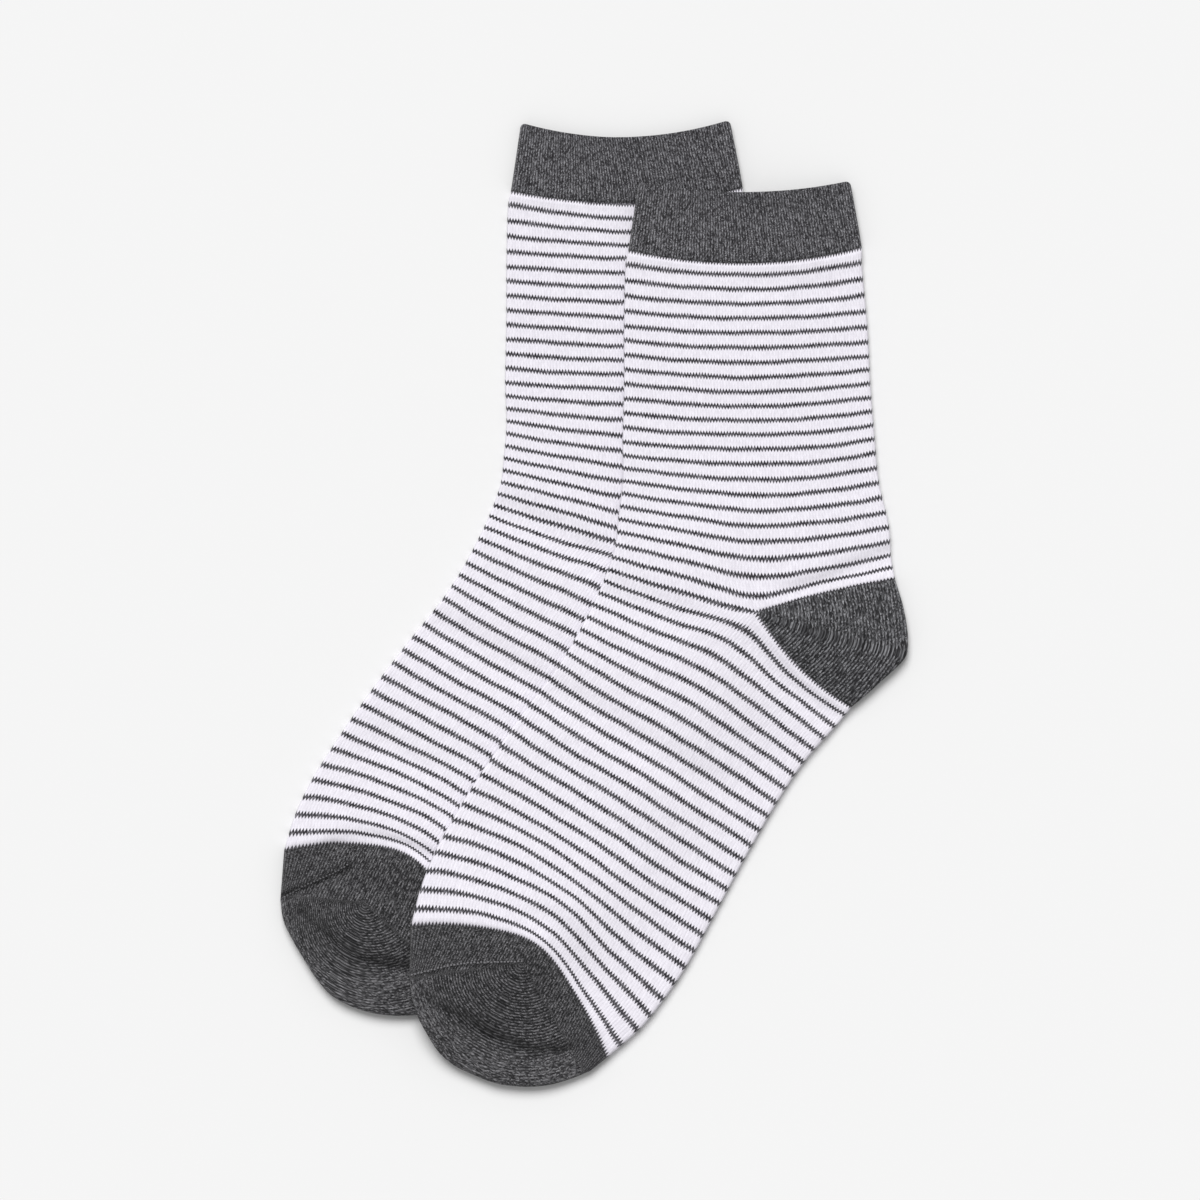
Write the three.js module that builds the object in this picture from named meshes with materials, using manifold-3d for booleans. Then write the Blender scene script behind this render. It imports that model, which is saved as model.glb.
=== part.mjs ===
// A pair of knitted crew socks, laid flat one over the other on a table, in millimetres.
// +Z is up, +Y runs from the toes to the cuffs, and the origin is on the table under the middle of the pair.
// Each sock is a flattened tube: a top and a bottom layer of knitted wall that meet in folds at its edges,
// open at the cuff. It is cut along its seams into cuff, body, heel and toe.
import * as THREE from 'three';
import { mergeVertices } from 'three/addons/utils/BufferGeometryUtils.js';
import Module from 'manifold-3d';

const WALL = 1.2;
const SEAM_GAP = 0.3;
const LAYER_GAP = 0.35;
const BODY_THICKNESS = 3.6;
const CUFF_THICKNESS = 4.4;
const HEEL_THICKNESS = 5.0;
const TOE_THICKNESS = 5.6;
const COVER_MARGIN = 4;
const COVER_SLOPE = 24;

// Turns rows of numbers into rows with named columns.
function table(columns, rows) {
  const names = columns.split(' ');
  return rows.map((row) => Object.fromEntries(names.map((name, i) => [name, row[i]])));
}

// Courses of the upper sock, counted in stripes down from the cuff. A course is given by five points a
// quarter of its length apart, from a on the shin and instep fold to e on the calf and sole fold.
const COURSE_COLUMNS = 'stripe ax ay bx by cx cy dx dy ex ey';
const LEG_COURSES = table(COURSE_COLUMNS, [
  [-5.6, 15.5, 145.5, 33.5, 143, 51, 142, 70, 143, 88.5, 146],
  [-0.8, 12, 122, 32.5, 118.5, 53, 117.5, 73, 119, 92.5, 123],
  [0, 11, 117, 31.5, 114.5, 52.5, 113.5, 72.5, 114.5, 92.5, 118],
  [4, 10.5, 96, 31.5, 94, 52.5, 93.5, 73.5, 94, 94.5, 95.5],
  [8, 10.5, 76, 31.5, 74, 53, 73, 74.5, 74, 95.5, 76],
  [12, 10, 56, 32, 54, 53.5, 53.5, 75.5, 54, 97, 57],
  [15, 10, 42.5, 32, 39.5, 54.5, 37.5, 76.5, 38.5, 98.5, 42],
  [18, 8.5, 29.5, 32, 25, 55, 21.5, 79, 23, 102, 26.5],
  [20, 7.5, 20.5, 31, 15, 54.5, 9.5, 79, 12, 102.5, 17],
  [22, 5, 12, 30.5, 4, 56.5, -3, 78, 4, 104, 8.5],
]);
const FOOT_COURSES = table(COURSE_COLUMNS, [
  [22.7, 4, 9.5, 29, 1, 56.5, -3, 71.5, -21.5, 89, -35.5],
  [24, 2, 4.5, 24.5, -4.5, 47, -13, 65.5, -29, 84.5, -41],
  [27, -4.5, -8.5, 16, -19, 36, -28.5, 54.5, -42, 73, -54],
  [30, -12, -21, 6.5, -33, 26, -44, 44.5, -56, 63.5, -68],
  [34, -25.5, -39, -6.5, -51.5, 13.5, -63.5, 32.5, -76, 52, -88],
  [38, -39, -58.5, -18.5, -70, 1.5, -82.5, 21, -96.5, 41, -108.5],
  [41, -48.5, -74, -26.5, -83, -6, -95.5, 12.5, -111, 32, -125],
  [43, -54.5, -85, -31.5, -92.5, -10, -103.5, 6.5, -120.5, 24.5, -136],
  [45, -59.5, -97.5, -36.5, -102, -15.5, -112, 0.5, -129.5, 16, -146.5],
  [46.9, -63, -111, -38.5, -111.7, -19, -118, -5.5, -136, 4.5, -156.5],
]);
const CUFF_SEAM = -0.8;
const HEEL_START = 22;
const HEEL_END = 22.7;
const TOE_SEAM = 46.9;

// Fold line round the back of the heel and round the tip of each toe, which the lower sock fills out more.
const HEEL_FOLD = table('x y', [
  [104, 8.5], [106.5, 0.5], [108, -7], [108.5, -12.5], [108, -17.5], [105, -21.5], [100, -26], [94.5, -31], [89, -35.5],
]);
const TOE_FOLD = table('x y', [
  [-63.5, -129], [-62.5, -136], [-60.5, -142.5], [-57, -149], [-53, -155], [-47.5, -159.5], [-40, -163],
  [-33, -165.5], [-24, -166.5], [-16, -166], [-8.5, -164], [-1, -161],
]);
const LOWER_TOE_FOLD = table('x y', [
  [-108, -102], [-107, -109], [-104, -115.5], [-100, -122.3], [-95.5, -129.3], [-90, -135.3], [-82.5, -139.2],
  [-74, -141.5], [-65, -142], [-56, -141], [-48.5, -138.5], [-43, -134],
]);
const HEEL_BOW = { start: 1.2, end: 2.4 };

// How the lower sock lies beside the upper one: its courses are moved by a at the instep fold,
// by c in the middle and by e at the sole fold.
const LOWER_SHIFT = table('stripe ax ay cx cy ex ey', [
  [-5.6, -40.5, 20.5, -42, 19, -41.5, 21],
  [0, -40.5, 20.5, -40.5, 21, -41, 20.5],
  [12, -40.5, 20.5, -40.5, 21, -41, 21],
  [18, -39.5, 21, -40, 20.5, -41, 22],
  [23, -39.5, 22.5, -39.5, 23, -41, 24],
  [27, -39.5, 23, -40, 23.5, -41.5, 25],
  [34, -40.5, 23.5, -40.5, 26, -42, 26],
  [41, -42, 24.5, -42, 28.5, -42, 28],
  [45, -43.5, 25.5, -43, 30, -42, 28],
  [46.9, -43.8, 26.3, -43, 30, -42, 27.5],
]);

// Creases that are pressed into the top layer: the sunk line behind the rolled rim of each toe.
const UPPER_TOE_CREASE = table('x y', [[-46, -140], [-40, -146.5], [-29, -149], [-24, -153], [-15, -155], [-6, -152]]);
const LOWER_TOE_CREASE = table('x y', [[-94, -113], [-84, -121], [-75, -124.5], [-64, -125.5]]);
const TOE_CREASE = { depth: 1.7, width: 3.2 };
// The soft ridge that stands up on the upper heel. The lower heel is pressed flat by the sock on it.
const UPPER_HEEL_RIDGE = table('x y', [[85, -4], [90, -7], [96, -10.5]]);
const HEEL_RIDGE = { depth: -0.8, width: 4 };

const wasm = await Module();
wasm.setup();
const { Manifold, Mesh } = wasm;

// A smooth curve through values at rising knots: a cubic between each two, with the slope of its neighbours.
function smooth(knots, values) {
  const last = knots.length - 1;
  const slopes = values.map((value, i) => {
    const before = Math.max(i - 1, 0);
    const after = Math.min(i + 1, last);
    return (values[after] - values[before]) / (knots[after] - knots[before]);
  });
  return (at) => {
    let i = 0;
    while (i < last - 1 && at > knots[i + 1]) {
      i += 1;
    }
    const step = knots[i + 1] - knots[i];
    const u = (at - knots[i]) / step;
    const rise = values[i + 1] - values[i];
    const bend = (slopes[i] * step - rise) * (1 - u) - (slopes[i + 1] * step - rise) * u;
    return values[i] + rise * u + u * (1 - u) * bend;
  };
}

// The curves through every column of a table, by its column of knots or, without one, evenly from 0 to 1.
function curvesOf(rows, knotColumn) {
  const knots = rows.map((row, i) => (knotColumn ? row[knotColumn] : i / (rows.length - 1)));
  const columns = Object.keys(rows[0]);
  return Object.fromEntries(columns.map((name) => [name, smooth(knots, rows.map((row) => row[name]))]));
}

const LEG = curvesOf(LEG_COURSES, 'stripe');
const FOOT = curvesOf(FOOT_COURSES, 'stripe');
const INSTEP = curvesOf([...LEG_COURSES, ...FOOT_COURSES], 'stripe');
const SHIFT = curvesOf(LOWER_SHIFT, 'stripe');
const HEEL_RIM = curvesOf(HEEL_FOLD);
const TOE_RIM = curvesOf(TOE_FOLD);
const LOWER_TOE_RIM = curvesOf(LOWER_TOE_FOLD);

function pointOn(curves, letter, at) {
  return new THREE.Vector2(curves[`${letter}x`](at), curves[`${letter}y`](at));
}

// The parabola through three points, from u = 0 to u = 1.
function throughThree(first, middle, last, u) {
  const place = new THREE.Vector2();
  place.addScaledVector(first, (1 - u) * (1 - 2 * u));
  place.addScaledVector(middle, 4 * u * (1 - u));
  place.addScaledVector(last, u * (2 * u - 1));
  return place;
}

function lowerShift(stripe, across) {
  return throughThree(pointOn(SHIFT, 'a', stripe), pointOn(SHIFT, 'c', stripe), pointOn(SHIFT, 'e', stripe), across);
}

// A place on a sock's plan, from its course and how far across it lies, 0 on the instep fold to 1 on the
// sole fold. Between HEEL_START and HEEL_END the sole half fans round the heel. Past TOE_SEAM the courses
// spread out to the fold round the toe, which they reach TOE_DEPTH stripes further on.
const TOE_DEPTH = 3.4;
const TOE_TIP = TOE_SEAM + TOE_DEPTH;

function courseOf(soleCurves, stripe, across) {
  const instep = (letter) => {
    if (stripe < HEEL_START || stripe > HEEL_END) {
      return pointOn(INSTEP, letter, stripe);
    }
    const past = (stripe - HEEL_START) / (HEEL_END - HEEL_START);
    return pointOn(LEG, letter, HEEL_START).lerp(pointOn(FOOT, letter, HEEL_END), past);
  };
  if (across <= 0.5) {
    return throughThree(instep('a'), instep('b'), instep('c'), across * 2);
  }
  const sole = (letter) => pointOn(soleCurves, letter, stripe);
  return throughThree(instep('c'), sole('d'), sole('e'), across * 2 - 1);
}

function heelPlace(turn, reach) {
  const corner = courseOf(FOOT, HEEL_END, 0.5);
  const out = pointOn(HEEL_RIM, '', turn).sub(corner);
  const bow = THREE.MathUtils.lerp(HEEL_BOW.start, -HEEL_BOW.end, turn) * 4 * reach * (1 - reach);
  const side = new THREE.Vector2(-out.y, out.x).normalize();
  return corner.addScaledVector(out, reach).addScaledVector(side, bow);
}

function toeSpread(stripe) {
  return THREE.MathUtils.clamp((stripe - TOE_SEAM) / TOE_DEPTH, 0, 1);
}

function upperPlace(stripe, across) {
  if (stripe > TOE_SEAM) {
    return courseOf(FOOT, TOE_SEAM, across).lerp(pointOn(TOE_RIM, '', across), toeSpread(stripe));
  }
  if (stripe >= HEEL_START && stripe <= HEEL_END && across > 0.5) {
    return heelPlace((stripe - HEEL_START) / (HEEL_END - HEEL_START), across * 2 - 1);
  }
  return courseOf(stripe < HEEL_END ? LEG : FOOT, stripe, across);
}

function lowerPlace(stripe, across) {
  const course = Math.min(stripe, TOE_SEAM);
  const place = upperPlace(course, across).add(lowerShift(course, across));
  return place.lerp(pointOn(LOWER_TOE_RIM, '', across), toeSpread(stripe));
}

const SOCKS = {
  upper: { place: upperPlace, crease: UPPER_TOE_CREASE, ridge: UPPER_HEEL_RIDGE },
  lower: { place: lowerPlace, crease: LOWER_TOE_CREASE, ridge: [] },
};

const LEG_STEPS = [-5.6, -5.1, -2, -0.2, 3.5, 8, 12, 15.5, 18.5, 20.5];
const HEEL_STEPS = [0, 0.14, 0.28, 0.42, 0.58, 0.72, 0.86, 1];
const FOOT_STEPS = [23.6, 25, 27.5, 31, 35, 39, 42, 44.5, 46.2];
const TOE_STEPS = [0, 0.16, 0.34, 0.5, 0.64, 0.76, 0.87, 0.95, 0.985, 1];
const ACROSS_STEPS = 10;
const FOLD_STEPS = [0, 0.3, 1];

function courseSteps() {
  const heel = HEEL_STEPS.map((step) => THREE.MathUtils.lerp(HEEL_START, HEEL_END, step));
  const toe = TOE_STEPS.map((step) => THREE.MathUtils.lerp(TOE_SEAM, TOE_TIP, step));
  return [...LEG_STEPS, ...heel, ...FOOT_STEPS, ...toe];
}

function distanceTo(line, place) {
  let best = { distance: Infinity };
  for (let i = 0; i < line.length - 1; i += 1) {
    const ax = line[i].x;
    const ay = line[i].y;
    const dx = line[i + 1].x - ax;
    const dy = line[i + 1].y - ay;
    const along = ((place.x - ax) * dx + (place.y - ay) * dy) / (dx * dx + dy * dy);
    const u = THREE.MathUtils.clamp(along, 0, 1);
    const distance = Math.hypot(place.x - ax - u * dx, place.y - ay - u * dy);
    if (distance < best.distance) {
      best = { distance, dx, dy, side: Math.sign(dx * (place.y - ay) - dy * (place.x - ax)) };
    }
  }
  return best;
}

// The fold that a sock is closed by: down the instep, round the toe and up the sole and heel.
function foldOf(sock) {
  const steps = courseSteps();
  const instep = steps.map((stripe) => sock.place(stripe, 0));
  const tip = [];
  for (let i = 1; i < 24; i += 1) {
    tip.push(sock.place(TOE_TIP, i / 24));
  }
  const sole = steps.map((stripe) => sock.place(stripe, 1)).reverse();
  const fold = [...instep, ...tip, ...sole];
  const start = fold[0].clone().lerp(fold[1], -20);
  const end = fold[fold.length - 1].clone().lerp(fold[fold.length - 2], -20);
  return [start, ...fold, end];
}

for (const sock of Object.values(SOCKS)) {
  sock.fold = foldOf(sock);
  sock.toe = sock.place(TOE_SEAM + TOE_DEPTH * 0.5, 0.45);
  sock.heel = sock.place((HEEL_START + HEEL_END) / 2, 0.85);
  sock.cuff = sock.place(CUFF_SEAM, 0.5);
}

// Thickness of a whole sock at a place: fuller round the toe, at the heel and through the doubled cuff.
function thicknessAt(sock, place) {
  const near = (centre, radius) => Math.exp(-((place.distanceTo(centre) / radius) ** 4));
  const cuff = THREE.MathUtils.smoothstep(place.y, sock.cuff.y - 3, sock.cuff.y + 3);
  return BODY_THICKNESS
    + (TOE_THICKNESS - BODY_THICKNESS) * near(sock.toe, 42)
    + (HEEL_THICKNESS - BODY_THICKNESS) * near(sock.heel, 32)
    + (CUFF_THICKNESS - BODY_THICKNESS) * cuff;
}

function pressAt(line, form, place) {
  return form.depth * Math.exp(-((distanceTo(line, place).distance / form.width) ** 2));
}

// How high the upper sock is carried by the lower one: right up over it, and down to the table beside it.
function carryAt(place) {
  const { distance, side } = distanceTo(SOCKS.lower.fold, place);
  const beside = side > 0 ? 0 : distance;
  const height = thicknessAt(SOCKS.lower, place) + LAYER_GAP;
  return height * (1 - THREE.MathUtils.smoothstep(beside, COVER_MARGIN, COVER_MARGIN + COVER_SLOPE));
}

// The four corners of the wall's section at a place: outside and inside, of the top and the bottom layer.
function wallAt(sock, stripe, across, carried) {
  const place = sock.place(stripe, across);
  const thickness = thicknessAt(sock, place);
  const round = thickness / 2;
  const { distance, dx, dy } = distanceTo(sock.fold, place);
  const onFold = across === 0 || across === 1 || stripe === TOE_TIP;
  const lean = onFold ? 1 : 1 - Math.min(distance / round, 1);
  const rise = Math.sqrt(1 - lean * lean);
  const inward = new THREE.Vector2(-dy, dx).normalize();
  const press = pressAt(sock.crease, TOE_CREASE, place) + pressAt(sock.ridge, HEEL_RIDGE, place);
  const lift = carried ? carryAt(place) : 0;
  const within = place.clone().addScaledVector(inward, WALL * lean);
  const point = (plan, height) => new THREE.Vector3(plan.x, plan.y, height + lift);
  return {
    topOutside: point(place, round + (round - press) * rise),
    bottomOutside: point(place, round - round * rise),
    topInside: point(within, round + (round - press - WALL) * rise),
    bottomInside: point(within, round - (round - WALL) * rise),
  };
}

// How far across each column of a course lies: close together in the folds, even between them.
function acrossSteps(sock, stripe) {
  const width = sock.place(stripe, 0).distanceTo(sock.place(stripe, 0.5)) * 2;
  const fold = BODY_THICKNESS / 2 / width;
  const steps = FOLD_STEPS.map((step) => step * fold);
  for (let i = 1; i < ACROSS_STEPS; i += 1) {
    steps.push(i / ACROSS_STEPS);
  }
  return [...steps, ...FOLD_STEPS.map((step) => 1 - step * fold).reverse()];
}

function addStrip(triangles, first, second) {
  for (let i = 0; i < first.length - 1; i += 1) {
    triangles.push(first[i], second[i], first[i + 1]);
    triangles.push(first[i + 1], second[i], second[i + 1]);
  }
}

function toManifold(triangles) {
  const positions = new Float32Array(triangles.flatMap((point) => [point.x, point.y, point.z]));
  const loose = new THREE.BufferGeometry();
  loose.setAttribute('position', new THREE.BufferAttribute(positions, 3));
  const merged = mergeVertices(loose, 1e-3);
  const index = Array.from(merged.index.array);
  const kept = [];
  for (let i = 0; i < index.length; i += 3) {
    const [a, b, c] = index.slice(i, i + 3);
    if (a !== b && b !== c && c !== a) {
      kept.push(a, b, c);
    }
  }
  const vertProperties = new Float32Array(merged.attributes.position.array);
  return new Manifold(new Mesh({ numProp: 3, vertProperties, triVerts: new Uint32Array(kept) }));
}

// A whole sock: its outer and inner skins, each closed along the fold, joined round the cuff's mouth.
function sockSolid(sock, carried) {
  const grid = courseSteps().map((stripe) => acrossSteps(sock, stripe)
    .map((across) => wallAt(sock, stripe, across, carried)));
  const triangles = [];
  for (let i = 0; i < grid.length - 1; i += 1) {
    const side = (row, name) => grid[row].map((wall) => wall[name]);
    addStrip(triangles, side(i, 'topOutside'), side(i + 1, 'topOutside'));
    addStrip(triangles, side(i + 1, 'bottomOutside'), side(i, 'bottomOutside'));
    addStrip(triangles, side(i + 1, 'topInside'), side(i, 'topInside'));
    addStrip(triangles, side(i, 'bottomInside'), side(i + 1, 'bottomInside'));
  }
  const mouth = (name) => grid[0].map((wall) => wall[name]);
  addStrip(triangles, mouth('topInside'), mouth('topOutside'));
  addStrip(triangles, mouth('bottomOutside'), mouth('bottomInside'));
  return toManifold(triangles);
}

// An upright wall over a plan outline, tall enough to cut both layers of both socks.
function uprightOver(outline) {
  const shape = new THREE.Shape(outline);
  const geometry = new THREE.ExtrudeGeometry(shape, { depth: 40, bevelEnabled: false });
  geometry.translate(0, 0, -10);
  return toManifold(Array.from({ length: geometry.attributes.position.count }, (unused, i) => (
    new THREE.Vector3().fromBufferAttribute(geometry.attributes.position, i)
  )));
}

function offsetLine(line, distance) {
  return line.map((point, i) => {
    const before = line[Math.max(i - 1, 0)];
    const after = line[Math.min(i + 1, line.length - 1)];
    const along = after.clone().sub(before).normalize();
    return point.clone().add(new THREE.Vector2(-along.y, along.x).multiplyScalar(distance));
  });
}

function stretchEnds(line, distance) {
  const before = line[0].clone().sub(line[1]).setLength(distance).add(line[0]);
  const last = line.length - 1;
  const after = line[last].clone().sub(line[last - 1]).setLength(distance).add(line[last]);
  return [before, ...line, after];
}

// The plan of a seam along a course, running past both folds.
function seamLine(sock, stripe) {
  const line = [];
  for (let i = 0; i <= 16; i += 1) {
    line.push(sock.place(stripe, i / 16));
  }
  return stretchEnds(line, 8);
}

// The two seams of the heel, from the calf down to its corner and back out to the sole.
function heelLine(sock) {
  const line = [];
  for (let i = 8; i >= 0; i -= 1) {
    line.push(sock.place(HEEL_START, 0.5 + i / 16));
  }
  for (let i = 1; i <= 8; i += 1) {
    line.push(sock.place(HEEL_END, 0.5 + i / 16));
  }
  return stretchEnds(line, 8);
}

// Everything on one side of a seam, moved away from the seam by half of the gap.
function beyond(line, gap, far) {
  const edge = offsetLine(line, gap);
  const first = edge[0];
  const last = edge[edge.length - 1];
  return uprightOver([...edge, last.clone().add(far), first.clone().add(far)]);
}

function knittedMesh(name, solid, colour, roughness) {
  const mesh = solid.getMesh();
  const geometry = new THREE.BufferGeometry();
  geometry.setAttribute('position', new THREE.BufferAttribute(new Float32Array(mesh.vertProperties), 3));
  geometry.setIndex(new THREE.BufferAttribute(new Uint32Array(mesh.triVerts), 1));
  geometry.computeVertexNormals();
  const material = new THREE.MeshStandardMaterial({ color: colour, roughness, metalness: 0 });
  const part = new THREE.Mesh(geometry, material);
  part.name = name;
  return part;
}

const CHARCOAL = 0x56555a;
const WHITE = 0xf1eff6;

function sockMeshes(name, sock, carried) {
  const whole = sockSolid(sock, carried);
  const half = SEAM_GAP / 2;
  const up = new THREE.Vector2(0, 60);
  const down = new THREE.Vector2(0, -90);
  const back = new THREE.Vector2(60, -25);
  const cuffSeam = seamLine(sock, CUFF_SEAM);
  const toeSeam = seamLine(sock, TOE_SEAM);
  const heelSeam = heelLine(sock);
  const cuff = whole.intersect(beyond(cuffSeam, half, up));
  const toe = whole.intersect(beyond(toeSeam, -half, down));
  const heel = whole.intersect(beyond(heelSeam, half, back));
  const body = whole
    .subtract(beyond(cuffSeam, -half, up))
    .subtract(beyond(toeSeam, half, down))
    .subtract(beyond(heelSeam, -half, back));
  return [
    knittedMesh(`${name}_cuff`, cuff, CHARCOAL, 0.9),
    knittedMesh(`${name}_body`, body, WHITE, 0.88),
    knittedMesh(`${name}_heel`, heel, CHARCOAL, 0.9),
    knittedMesh(`${name}_toe`, toe, CHARCOAL, 0.9),
  ];
}

const pair = new THREE.Group();
pair.add(...sockMeshes('lower_sock', SOCKS.lower, false));
pair.add(...sockMeshes('upper_sock', SOCKS.upper, true));
const middle = new THREE.Box3().setFromObject(pair).getCenter(new THREE.Vector3());
pair.position.set(-middle.x, -middle.y, 0);

export default pair;
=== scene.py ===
import math

import bpy
import numpy as np
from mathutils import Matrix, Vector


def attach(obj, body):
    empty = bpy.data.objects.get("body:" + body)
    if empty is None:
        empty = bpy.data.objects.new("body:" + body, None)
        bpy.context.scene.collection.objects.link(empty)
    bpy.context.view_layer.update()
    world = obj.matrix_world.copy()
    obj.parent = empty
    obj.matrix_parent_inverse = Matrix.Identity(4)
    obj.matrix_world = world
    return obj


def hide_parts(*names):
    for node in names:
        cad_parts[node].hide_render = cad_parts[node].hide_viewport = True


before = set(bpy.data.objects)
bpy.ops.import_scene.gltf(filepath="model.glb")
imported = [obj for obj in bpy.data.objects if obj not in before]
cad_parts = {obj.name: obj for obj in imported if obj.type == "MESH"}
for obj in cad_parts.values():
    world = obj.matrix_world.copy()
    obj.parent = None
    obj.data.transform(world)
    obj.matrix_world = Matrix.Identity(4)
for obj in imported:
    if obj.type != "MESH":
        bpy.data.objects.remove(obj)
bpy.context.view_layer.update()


# The body: leg and foot in one knitted tube, off-white cotton with a charcoal stripe every seven courses.
# It is knitted from the cuff down, opens for the heel pouch, and lies flat as two layers that meet in
# folds down the shin and instep and down the calf and sole.


def columns(names, rows):
    """A table with named columns, from a row of numbers for each course or point."""
    return dict(zip(names.split(), np.array(rows, float).T))


# The plan in millimetres. A course is counted in stripes down from the cuff and has five points a quarter
# of its length apart, from a on the instep fold to e on the sole fold.
COURSE = "stripe ax ay bx by cx cy dx dy ex ey"
LEG = columns(COURSE, [
    [-5.6, 15.5, 145.5, 33.5, 143, 51, 142, 70, 143, 88.5, 146],
    [-0.8, 12, 122, 32.5, 118.5, 53, 117.5, 73, 119, 92.5, 123],
    [0, 11, 117, 31.5, 114.5, 52.5, 113.5, 72.5, 114.5, 92.5, 118],
    [4, 10.5, 96, 31.5, 94, 52.5, 93.5, 73.5, 94, 94.5, 95.5],
    [8, 10.5, 76, 31.5, 74, 53, 73, 74.5, 74, 95.5, 76],
    [12, 10, 56, 32, 54, 53.5, 53.5, 75.5, 54, 97, 57],
    [15, 10, 42.5, 32, 39.5, 54.5, 37.5, 76.5, 38.5, 98.5, 42],
    [18, 8.5, 29.5, 32, 25, 55, 21.5, 79, 23, 102, 26.5],
    [20, 7.5, 20.5, 31, 15, 54.5, 9.5, 79, 12, 102.5, 17],
    [22, 5, 12, 30.5, 4, 56.5, -3, 79.5, 3.6, 104, 8.5],
])
FOOT = columns(COURSE, [
    [22.7, 4, 9.5, 29, 1, 56.5, -3, 71.5, -22, 89, -35.5],
    [24, 2, 4.5, 24.5, -4.5, 47, -13, 65.5, -29, 84.5, -41],
    [27, -4.5, -8.5, 16, -19, 36, -28.5, 54.5, -42, 73, -54],
    [30, -12, -21, 6.5, -33, 26, -44, 44.5, -56, 63.5, -68],
    [34, -25.5, -39, -6.5, -51.5, 13.5, -63.5, 32.5, -76, 52, -88],
    [38, -39, -58.5, -18.5, -70, 1.5, -82.5, 21, -96.5, 41, -108.5],
    [41, -48.5, -74, -26.5, -83, -6, -95.5, 12.5, -111, 32, -125],
    [43, -54.5, -85, -31.5, -92.5, -10, -103.5, 6.5, -120.5, 24.5, -136],
    [45, -59.5, -97.5, -36.5, -102, -15.5, -112, 0.5, -129.5, 16, -146.5],
    [46.9, -63, -111, -38.5, -111.7, -19, -118, -5.5, -136, 4.5, -156.5],
])
# The folds round the back of the heel and round the tip of each toe, and how far the lower sock lies from
# the upper one: at the instep fold, in the middle and at the sole fold.
HEEL_FOLD = columns("x y", [
    [104, 8.5], [106.5, 0.5], [108, -7], [108.5, -12.5], [108, -17.5], [105, -21.5],
    [100, -26], [94.5, -31], [89, -35.5],
])
TOE_FOLD = columns("x y", [
    [-63.5, -129], [-62.5, -136], [-60.5, -142.5], [-57, -149], [-53, -155], [-47.5, -159.5],
    [-40, -163], [-33, -165.5], [-24, -166.5], [-16, -166], [-8.5, -164], [-1, -161],
])
LOWER_TOE_FOLD = columns("x y", [
    [-108, -102], [-107, -109], [-104, -115.5], [-100, -122.3], [-95.5, -129.3], [-90, -135.3],
    [-82.5, -139.2], [-74, -141.5], [-65, -142], [-56, -141], [-48.5, -138.5], [-43, -134],
])
LOWER_SHIFT = columns("stripe ax ay cx cy ex ey", [
    [-5.6, -40.5, 20.5, -42, 19, -41.5, 21],
    [0, -40.5, 20.5, -40.5, 21, -41, 20.5],
    [12, -40.5, 20.5, -40.5, 21, -41, 21],
    [18, -39.5, 21, -40, 20.5, -41, 22],
    [23, -39.5, 22.5, -39.5, 23, -41, 24],
    [27, -39.5, 23, -40, 23.5, -41.5, 25],
    [34, -40.5, 23.5, -40.5, 26, -42, 26],
    [41, -42, 24.5, -42, 28.5, -42, 28],
    [45, -43.5, 25.5, -43, 30, -42, 28],
    [46.9, -43.8, 26.3, -43, 30, -42, 27.5],
])
INSTEP = {name: np.concatenate([LEG[name], FOOT[name]]) for name in LEG}
CUFF_TOP, CUFF_SEAM, HEEL_START, HEEL_END, TOE_SEAM, TOE_TIP = -5.6, -0.8, 22.0, 22.7, 46.9, 50.3
# How far the heel's first and last row bow off a straight line.
HEEL_BOW = 1.2, -2.4


def step_up(x, low, high):
    """0 below low, 1 above high and a smooth rise between."""
    u = np.clip((x - low) / (high - low), 0, 1)
    return u * u * (3 - 2 * u)


def smooth(knots, values, at):
    """A cubic between each two knots, whose slope at a knot is that of the line between its neighbours."""
    before = np.maximum(np.arange(len(knots)) - 1, 0)
    after = np.minimum(np.arange(len(knots)) + 1, len(knots) - 1)
    slopes = (values[after] - values[before]) / (knots[after] - knots[before])
    i = np.clip(np.searchsorted(knots, at) - 1, 0, len(knots) - 2)
    step = knots[i + 1] - knots[i]
    u = (at - knots[i]) / step
    rise = values[i + 1] - values[i]
    bend = (slopes[i] * step - rise) * (1 - u) - (slopes[i + 1] * step - rise) * u
    return values[i] + rise * u + u * (1 - u) * bend


def point_on(table, letter, at):
    """The point that a table's columns reach at a knot value, or evenly from 0 to 1 without knots."""
    knots = table.get("stripe", np.linspace(0, 1, len(table[letter + "x"])))
    return np.stack([smooth(knots, table[letter + axis], at) for axis in "xy"], -1)


def through_three(first, middle, last, u):
    """The parabola through three points, at u from 0 to 1."""
    u = u[..., None]
    return first * (1 - u) * (1 - 2 * u) + middle * 4 * u * (1 - u) + last * u * (2 * u - 1)


def through_five(points, across, into=None, out_of=None):
    """A cubic line through five points a quarter apart, with the slope of each point's neighbours.
    into and out_of are other slopes for the middle point, from before it and after it."""
    slopes = np.gradient(points, 0.25, axis=0, edge_order=2)
    begins, ends = slopes[:4].copy(), slopes[1:].copy()
    if into is not None:
        begins[2], ends[1] = out_of, into
    quarter = np.clip(np.floor(across * 4), 0, 3).astype(int)[None, ..., None]
    parts = (np.take_along_axis(stack, quarter, 0)[0] for stack in (points[:4], points[1:], begins, ends))
    first, last, begin, end = parts
    u = across[..., None] * 4 - quarter[0]
    rise = last - first
    bend = (begin * 0.25 - rise) * (1 - u) - (end * 0.25 - rise) * u
    return first + rise * u + u * (1 - u) * bend


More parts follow.
